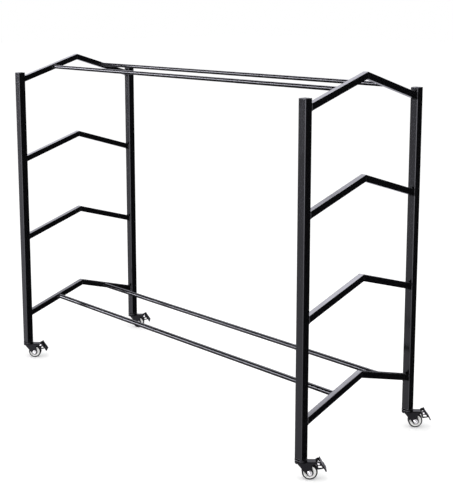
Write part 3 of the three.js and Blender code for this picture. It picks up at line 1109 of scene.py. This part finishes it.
    def swivel_head(self) -> bpy.types.Mesh:
        """Turns the stem, the upper ball cup and the king rivet.

        Returns:
            The turned piece, its skirt high enough to show the balls.
        """
        stem, cup, top, skirt = self.stem_radius, self.cup_radius, self.cup_top, self.cup_skirt
        inner, under, end = cup - self.cup_wall, top - self.cup_wall, top + self.stem_length
        run, fall = self.dome_run, self.dome_drop
        dome = [(cup - run + run * math.sin(math.radians(a)),
                 top - fall + fall * math.cos(math.radians(a))) for a in range(0, 91, 15)]
        profile = [(0, end), (stem - 0.8, end), (stem, end - 0.8), (stem, top), *dome,
                   (cup, skirt + 0.4), (cup - 0.2, skirt), (inner + 0.2, skirt),
                   (inner, skirt + 0.3), (inner, skirt + 1.4), (inner - 2.5, under),
                   (stem, under), *self.rivet_head]
        return shaded(turned("swivel_head", profile, 64), 40)

    def race(self) -> bpy.types.Mesh:
        """Lays the ring of balls round its cage with a node tree.

        Returns:
            The cage and the balls.
        """
        tree, given = new_group("ball_ring", {
            "Cage": "Geometry", "Balls": "Int", "Ring radius": "Float", "Ball radius": "Float",
            "Height": "Float", "Material": "Material"})
        ring = add_node(tree, "GeometryNodeMeshCircle", links={
            "Vertices": given["Balls"], "Radius": given["Ring radius"]})
        ball = add_node(tree, "GeometryNodeMeshIcoSphere", {"Subdivisions": 3},
                        {"Radius": given["Ball radius"]})
        laid = add_node(tree, "GeometryNodeInstanceOnPoints",
                        links={"Points": ring, "Instance": ball})
        lift = add_node(tree, "ShaderNodeCombineXYZ", links={"Z": given["Height"]})
        raised = add_node(tree, "GeometryNodeTransform",
                          links={"Geometry": laid, "Translation": lift})
        smooth = add_node(tree, "GeometryNodeSetShadeSmooth", links={"Geometry": raised})
        both = add_node(tree, "GeometryNodeJoinGeometry", links={0: smooth})
        tree.links.new(given["Cage"], both.inputs[0])
        close_group(tree, both, given["Material"])
        radius, height = self.ball_ring
        return modified(shaded(turned("race", self.cage)), "NODES", {"node_group": tree}, {
            "Balls": self.balls, "Ring radius": radius, "Ball radius": self.ball_radius,
            "Height": height, "Material": self.finishes.zinc.material})

    def hexagon(self, low: float, high: float, eased_high: bool) -> bpy.types.Mesh:
        """Makes a hexagon about the axle with one end's corners eased.

        Args:
            low: Where it starts across the caster.
            high: Where it ends.
            eased_high: True where the corners of the far end are eased.

        Returns:
            The mesh.
        """
        corners = arc(self.axle, self.hex_flats / math.sqrt(3), 0, 360, 6)[:-1]
        bar = prism("hexagon", corners, low, high, across)
        flat, wide, ease = self.hex_flats / 2 - 0.1, 9, 1.2
        eased = [(0, low - 1), (wide, low - 1), (wide, high - ease), (flat, high), (0, high)]
        if not eased_high:
            eased = [(0, low), (flat, low), (wide, low + ease), (wide, high + 1), (0, high + 1)]
        return combine(bar, spindle("easing", eased, self.axle, 48), Boolean.COMMON)

    def flange(self, way: int) -> bpy.types.Mesh:
        """Turns a flange that lies on one leg of the fork.

        Args:
            way: The side of the caster, -1 or 1.

        Returns:
            The flange.
        """
        face = self.half_fork + self.play
        section = [(radius, way * (face + place)) for radius, place in self.washer]
        return spindle("flange", section, self.axle, 48)

    def axle_bolt(self) -> bpy.types.Mesh:
        """Makes the axle bolt with its flange, head and thread.

        Returns:
            The bolt.
        """
        face, radius, pitch = self.half_fork + self.play, self.axle_radius, self.thread_pitch
        tip = -face - self.nut_height - self.bolt_end
        turn = -face - self.nut_height + self.thread_hidden
        shank = [(0, face + 1), (radius, face + 1), (radius, turn)]
        while turn - pitch > tip + self.bolt_tip:
            shank += [(radius - self.thread_depth, turn - pitch / 2), (radius, turn - pitch)]
            turn -= pitch
        shank += [(radius - self.bolt_tip, tip), (0, tip)]
        made = combine(spindle("axle_bolt", shank, self.axle), self.flange(1), Boolean.UNION)
        head = self.hexagon(face + self.hex_root, face + self.bolt_head, True)
        return shaded(combine(made, head, Boolean.UNION))

    def axle_nut(self) -> bpy.types.Mesh:
        """Makes the flanged axle nut.

        Returns:
            The nut, with its threaded bore countersunk.
        """
        face, bore = -self.half_fork - self.play, self.axle_radius + self.play
        end = face - self.nut_height
        made = combine(self.flange(-1), self.hexagon(end, face - self.hex_root, False),
                       Boolean.UNION)
        hole = [(0, face + 1), (bore, face + 1), (bore, end + 0.6), (bore + 0.6, end - 0.5),
                (0, end - 0.5)]
        return shaded(combine(made, spindle("bore", hole, self.axle), Boolean.CUT))

    def wheel_core(self) -> bpy.types.Mesh:
        """Turns the wheel's centre: hub, dished web with a groove, and rim.

        Returns:
            The wheel's centre.
        """
        rim, edge = self.wheel_radius - self.tyre_thickness - 0.2, self.tyre_width / 2
        half = [*self.wheel_face, (rim - 0.2, edge), (rim, edge - 0.2)]
        return shaded(spindle("wheel_core", mirrored(half), self.axle, 72), 40)

    def tyre(self) -> bpy.types.Mesh:
        """Turns the tyre, with round shoulders and a faint parting line.

        Returns:
            The tyre.
        """
        outer, inner = self.wheel_radius, self.wheel_radius - self.tyre_thickness
        edge, bend = self.tyre_width / 2, self.tyre_shoulder
        half = [(inner, edge - 0.5), (inner + 0.5, edge), (outer - bend, edge)]
        half += [(outer - bend + bend * math.sin(math.radians(a)),
                  edge - bend + bend * math.cos(math.radians(a))) for a in (18, 36, 54, 72)]
        half += [(outer, edge - bend), *((outer - deep, place) for deep, place in self.parting)]
        return shaded(spindle("tyre", mirrored(half), self.axle, 96), 40)

    def from_pin(self, shares: Sequence[Point2]) -> list[Point2]:
        """Places points that are given as shares of the pedal's reach and drop."""
        return [(self.pivot[0] + self.pedal_reach * a, self.pivot[1] + self.pedal_drop * b)
                for a, b in shares]

    def on_tread(self, down: float, out: float) -> Point2:
        """Places a point on the pedal's tread.

        Args:
            down: The distance down the tread's line.
            out: The distance out from the pin.

        Returns:
            The point's trail and height.
        """
        reach = math.hypot(self.pedal_reach, self.pedal_drop)
        lean = math.atan2(-self.pedal_drop, self.pedal_reach) - math.asin(self.tread_offset / reach)
        return (self.pivot[0] + down * math.cos(lean) - out * math.sin(lean),
                self.pivot[1] + down * math.sin(lean) + out * math.cos(lean))

    def pad_outline(self, length: float) -> list[Point2]:
        """Lists the side outline of the tread's ribbed pad.

        Args:
            length: The length of the tread from the pin.

        Returns:
            The corners, from the pad's back round its ribs.
        """
        low = self.tread_offset - self.pad_skin
        high = self.tread_offset + self.tread_plate + self.pad_skin
        start, pitch = length - self.pad_length, self.pad_length / self.pad_ribs
        pad = [(start, low), (length, low)]
        for rib in range(self.pad_ribs):
            end = length - rib * pitch
            pad += [(end - share * pitch, high + rise) for share, rise in self.pad_rib]
        pad.append((start, high + self.pad_rib[0][1]))
        return [self.on_tread(down, out) for down, out in pad]

    def brake_pedal(self) -> bpy.types.Mesh:
        """Presses the pedal: pierced cheeks, tread with a ribbed pad, and the brake shoe.

        Returns:
            The pedal with rounded edges.
        """
        inside = self.half_fork + self.pedal_gap
        outside, half = inside + self.pedal_plate, self.pad_width / 2
        inner, outer = self.tread_offset, self.tread_offset + self.tread_plate
        length = math.sqrt(self.pedal_reach ** 2 + self.pedal_drop ** 2 - inner ** 2)
        tread = [self.on_tread(down, out) for down, out in (
            (-inner, inner), (length, inner), (length, outer), (-inner, outer))]
        made = prism("brake_pedal", tread, SET_BACK - outside, outside - SET_BACK, across)
        web = self.from_pin(self.cheek) + [self.on_tread(down, (inner + outer) / 2)
                                           for down in (self.tread_bar * length, -inner / 2)]
        for low in (-outside, inside):
            high = low + self.pedal_plate
            window = prism("window", self.from_pin(self.window), low - 1, high + 1, across)
            cheek = combine(prism("cheek", web, low, high, across), window, Boolean.CUT)
            made = combine(made, cheek, Boolean.UNION)
        pad = prism("pad", self.pad_outline(length), -half, half, across)
        made = combine(made, pad, Boolean.UNION)
        first, last = self.shoe_span
        shoe = (arc(self.axle, self.shoe_radius, last, first, 8)
                + arc(self.axle, self.shoe_radius + self.shoe_plate, first, last, 8))
        reach = inside + self.pedal_plate / 2
        shoe = prism("shoe", shoe, -reach, reach, across)
        made = self.drilled(combine(made, shoe, Boolean.UNION), self.pivot, self.pin_radius)
        return shaded(softened(made, self.pedal_edge))

    def pedal_pin(self) -> bpy.types.Mesh:
        """Turns the pedal's rivet with its domed heads.

        Returns:
            The rivet.
        """
        face = self.half_fork + self.pedal_gap + self.pedal_plate + self.play
        half = [(radius, face + place) for radius, place in self.domed_head]
        return shaded(spindle("pedal_pin", mirrored(half), self.pivot), 50)

    def build(self) -> None:
        """Makes one of each piece and places a copy at every corner."""
        look = self.finishes
        parts = [
            ("swivel_head", self.swivel_head(), look.cup_enamel, None),
            ("ball_race", self.race(), look.zinc, None),
            ("fork", self.fork(), look.pressed_steel, "fork"),
            ("axle_bolt", self.axle_bolt(), look.zinc, "fork"),
            ("axle_nut", self.axle_nut(), look.zinc, "fork"),
            ("wheel_core", self.wheel_core(), look.wheel_plastic, "wheel"),
            ("tyre", self.tyre(), look.tyre_rubber, "wheel"),
            ("brake_pedal", self.brake_pedal(), look.pressed_steel, "pedal"),
            ("pedal_pin", self.pedal_pin(), look.zinc, "fork"),
        ]
        for corner in Corner:
            spot = Matrix.Translation(stem_of(corner) - Vector((0, 0, self.drop)))
            spot = spot @ Matrix.Rotation(math.radians(self.turn), 4, "Z")
            for part, mesh, skin, body in parts:
                node = f"{part}_{corner.value}"
                rides = f"{body}_{corner.value}" if body else "frame"
                piece(f"fine_{node}", mesh, skin, rides, node, spot)


# Studio


@dataclass(frozen=True)
class SoftPanel:
    """A patch of the studio that shows in reflections, such as a softbox or a lit screen.

    It faces the compass direction in toward. Each pair says where its light starts and where it is
    full: the width as a cosine from that direction, its bottom and its top as a direction's height.
    """

    toward: Point2
    width: Point2
    bottom: Point2
    top: Point2
    level: float

    def build(self, tree: bpy.types.NodeTree, way: Source) -> bpy.types.Node:
        """Adds the panel to the world's tree.

        Args:
            tree: The world's node tree.
            way: The direction that a reflection looks in.

        Returns:
            The node that gives the panel's light in that direction.
        """
        height = add_node(tree, "ShaderNodeSeparateXYZ", links={0: way}).outputs["Z"]
        aim = add_node(tree, "ShaderNodeVectorMath", {
            "operation": "DOT_PRODUCT", 1: (*self.toward, 0.0)}, {0: way}).outputs["Value"]
        light = None
        for value, (dark, full), most in ((aim, self.width, self.level),
                                          (height, self.bottom, 1.0), (height, self.top, 1.0)):
            edge = add_node(tree, "ShaderNodeMapRange", {
                "interpolation_type": "SMOOTHSTEP", "From Min": dark, "From Max": full,
                "To Max": most}, {"Value": value})
            light = edge if light is None else add_node(
                tree, "ShaderNodeMath", {"operation": "MULTIPLY"}, {0: light, 1: edge})
        return light


# A long softbox at the front left, just above the horizon: the bright line along the rails
FRONT_BOX = SoftPanel((-0.717, -0.697), (0.84, 0.92), (0.06, 0.1), (0.24, 0.18), 32.0)
# A box high at the back left: the pale upper faces of the crossbars
BACK_BOX = SoftPanel((-0.66, 0.75), (0.66, 0.76), (0.3, 0.37), (0.76, 0.69), 2.7)
# A brighter strip above it: the upper faces of the lowest crossbars
HIGH_BOX = SoftPanel((-0.66, 0.75), (0.6, 0.7), (0.58, 0.7), (0.79, 0.73), 6.8)
# The lit floor before the cart: the grey front faces of the posts
FRONT_FLOOR = SoftPanel((-0.717, -0.697), (0.7, 0.9), (-0.56, -0.42), (0.04, -0.02), 0.82)
# A screen on the camera's side: the white of the zinc
CAMERA_SCREEN = SoftPanel((0.6, -0.8), (0.4, 0.8), (-0.75, -0.55), (0.6, 0.4), 1.6)
# A brighter strip to the left of it: the line on the posts' corners
CORNER_STRIP = SoftPanel((0.383, -0.924), (0.935, 0.98), (-0.62, -0.45), (0.3, 0.15), 6.0)
# The lit floor far behind: the undersides of the crossbars' rear legs
BACK_FLOOR = SoftPanel((-0.64, 0.76), (0.6, 0.8), (-0.48, -0.4), (-0.12, -0.22), 0.9)
PANELS = (FRONT_BOX, BACK_BOX, HIGH_BOX, FRONT_FLOOR, CAMERA_SCREEN, CORNER_STRIP, BACK_FLOOR)

SENSOR_MM = 36
FRAME_HEIGHT_PX = 500


@dataclass(frozen=True)
class Lamp:
    """A square soft lamp: its name, its place and side in metres, and its power in watts."""

    name: str
    place: Point3
    side: float
    power: float


LAMPS = (Lamp("overhead", (0.3, -0.9, 4.2), 3.0, 40), Lamp("fill", (3.0, -3.3, 0.9), 2.0, 40))


@dataclass(frozen=True)
class Studio:
    """A pale floor, soft light and the camera."""

    focal_px: float = 1000.86
    azimuth: float = 45.826
    pitch: float = 8.923
    shift: float = -0.18
    eye: Point3 = (2733.58, -2517.05, 1412.45)
    reach: float = 30.0
    floor_level: float = -0.0005
    floor_colour: int = 0xf0f0f0
    floor_glow: float = 0.26
    diffuse_level: float = 0.9
    unlit: float = 0.02
    white: int = 0xffffff
    cool: int = 0xf4f3ff
    aim: Point3 = (0, 0, 0.6)

    def floor(self) -> None:
        """Lays the floor: white to the eye, with the shadow, and not seen in reflections."""
        far = self.reach
        mesh = mesh_from("floor", [(-far, -far, 0), (far, -far, 0), (far, far, 0), (-far, far, 0)],
                         [(0, 1, 2, 3)])
        made = bpy.data.objects.new("floor", mesh)
        made.location.z = self.floor_level
        made.visible_glossy = False
        bpy.context.scene.collection.objects.link(made)
        material = bpy.data.materials.new("pale_studio_floor")
        material.use_nodes = True
        tree = material.node_tree
        tree.nodes.clear()
        matt = add_node(tree, "ShaderNodeBsdfDiffuse", {"Color": linear(self.floor_colour)})
        glow = add_node(tree, "ShaderNodeEmission", {"Strength": self.floor_glow})
        seen = add_node(tree, "ShaderNodeAddShader", links={0: matt, 1: glow})
        add_node(tree, "ShaderNodeOutputMaterial", links={"Surface": seen})
        mesh.materials.append(material)

    def world(self) -> None:
        """Sets a white background, a plain level of light, and the panels that reflections see."""
        made = bpy.data.worlds.new("studio")
        made.use_nodes = True
        tree = made.node_tree
        tree.nodes.clear()
        way = add_node(tree, "ShaderNodeTexCoord").outputs["Generated"]
        lights = [panel.build(tree, way) for panel in PANELS]
        mirror = add_node(tree, "ShaderNodeMath", {"operation": "ADD", 0: self.unlit},
                          {1: lights[0]})
        for light in lights[1:]:
            mirror = add_node(tree, "ShaderNodeMath", {"operation": "ADD"}, {0: mirror, 1: light})
        ray = add_node(tree, "ShaderNodeLightPath").outputs
        plain = add_node(tree, "ShaderNodeMix", {
            "data_type": "FLOAT", 2: self.diffuse_level, 3: 1.0}, {0: ray["Is Camera Ray"]})
        level = add_node(tree, "ShaderNodeMix", {"data_type": "FLOAT"},
                         {0: ray["Is Glossy Ray"], 2: plain, 3: mirror})
        hue = add_node(tree, "ShaderNodeMix", {
            "data_type": "RGBA", MIX_FIRST: linear(self.white), MIX_SECOND: linear(self.cool)},
            {0: ray["Is Glossy Ray"]})
        back = add_node(tree, "ShaderNodeBackground", links={
            "Strength": level, "Color": hue.outputs[MIX_RESULT]})
        add_node(tree, "ShaderNodeOutputWorld", links={"Surface": back})
        bpy.context.scene.world = made

    def lamp(self, lamp: Lamp) -> None:
        """Hangs a soft lamp that points at the middle of the cart.

        Args:
            lamp: The lamp.
        """
        light = bpy.data.lights.new(lamp.name, "AREA")
        light.size = lamp.side
        light.energy = lamp.power
        made = bpy.data.objects.new(lamp.name, light)
        made.location = lamp.place
        way = Vector(self.aim) - Vector(lamp.place)
        made.rotation_euler = way.to_track_quat("-Z", "Y").to_euler()
        made.visible_glossy = False
        bpy.context.scene.collection.objects.link(made)

    def camera(self, foot: Vector) -> None:
        """Sets the camera at the viewing angle of the photograph.

        Args:
            foot: The middle of the welded frame, level with the posts' feet, in millimetres.
        """
        data = bpy.data.cameras.new("camera")
        data.sensor_fit = "AUTO"
        data.sensor_width = SENSOR_MM
        data.lens = self.focal_px * SENSOR_MM / FRAME_HEIGHT_PX
        data.shift_y = self.shift
        data.clip_end = 100
        made = bpy.data.objects.new("camera", data)
        az, pitch = math.radians(self.azimuth), math.radians(self.pitch)
        ahead = Vector((-math.sin(az) * math.cos(pitch), math.cos(az) * math.cos(pitch),
                        -math.sin(pitch)))
        made.location = (Vector(self.eye) + foot) * MM
        made.rotation_euler = ahead.to_track_quat("-Z", "Y").to_euler()
        bpy.context.scene.collection.objects.link(made)
        bpy.context.scene.camera = made

    def build(self, foot: Vector) -> None:
        """Sets up the floor, the light and the camera.

        Args:
            foot: The middle of the welded frame, level with the posts' feet, in millimetres.
        """
        self.floor()
        self.world()
        for lamp in LAMPS:
            self.lamp(lamp)
        self.camera(foot)
        bpy.context.scene.view_settings.view_transform = "Standard"


def main() -> None:
    """Builds the cart and its studio in order."""
    logging.basicConfig(level=logging.INFO, format="%(name)s %(message)s")
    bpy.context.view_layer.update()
    finishes, foot = Finishes.make(), foot_level()
    welded = WeldedFrame(finishes, foot)
    Studio().build(welded.middle + Vector((0, 0, foot)))
    welded.build()
    WeldBeads(welded).build()
    Caster(finishes, foot).build()


if __name__ == "__main__":
    main()
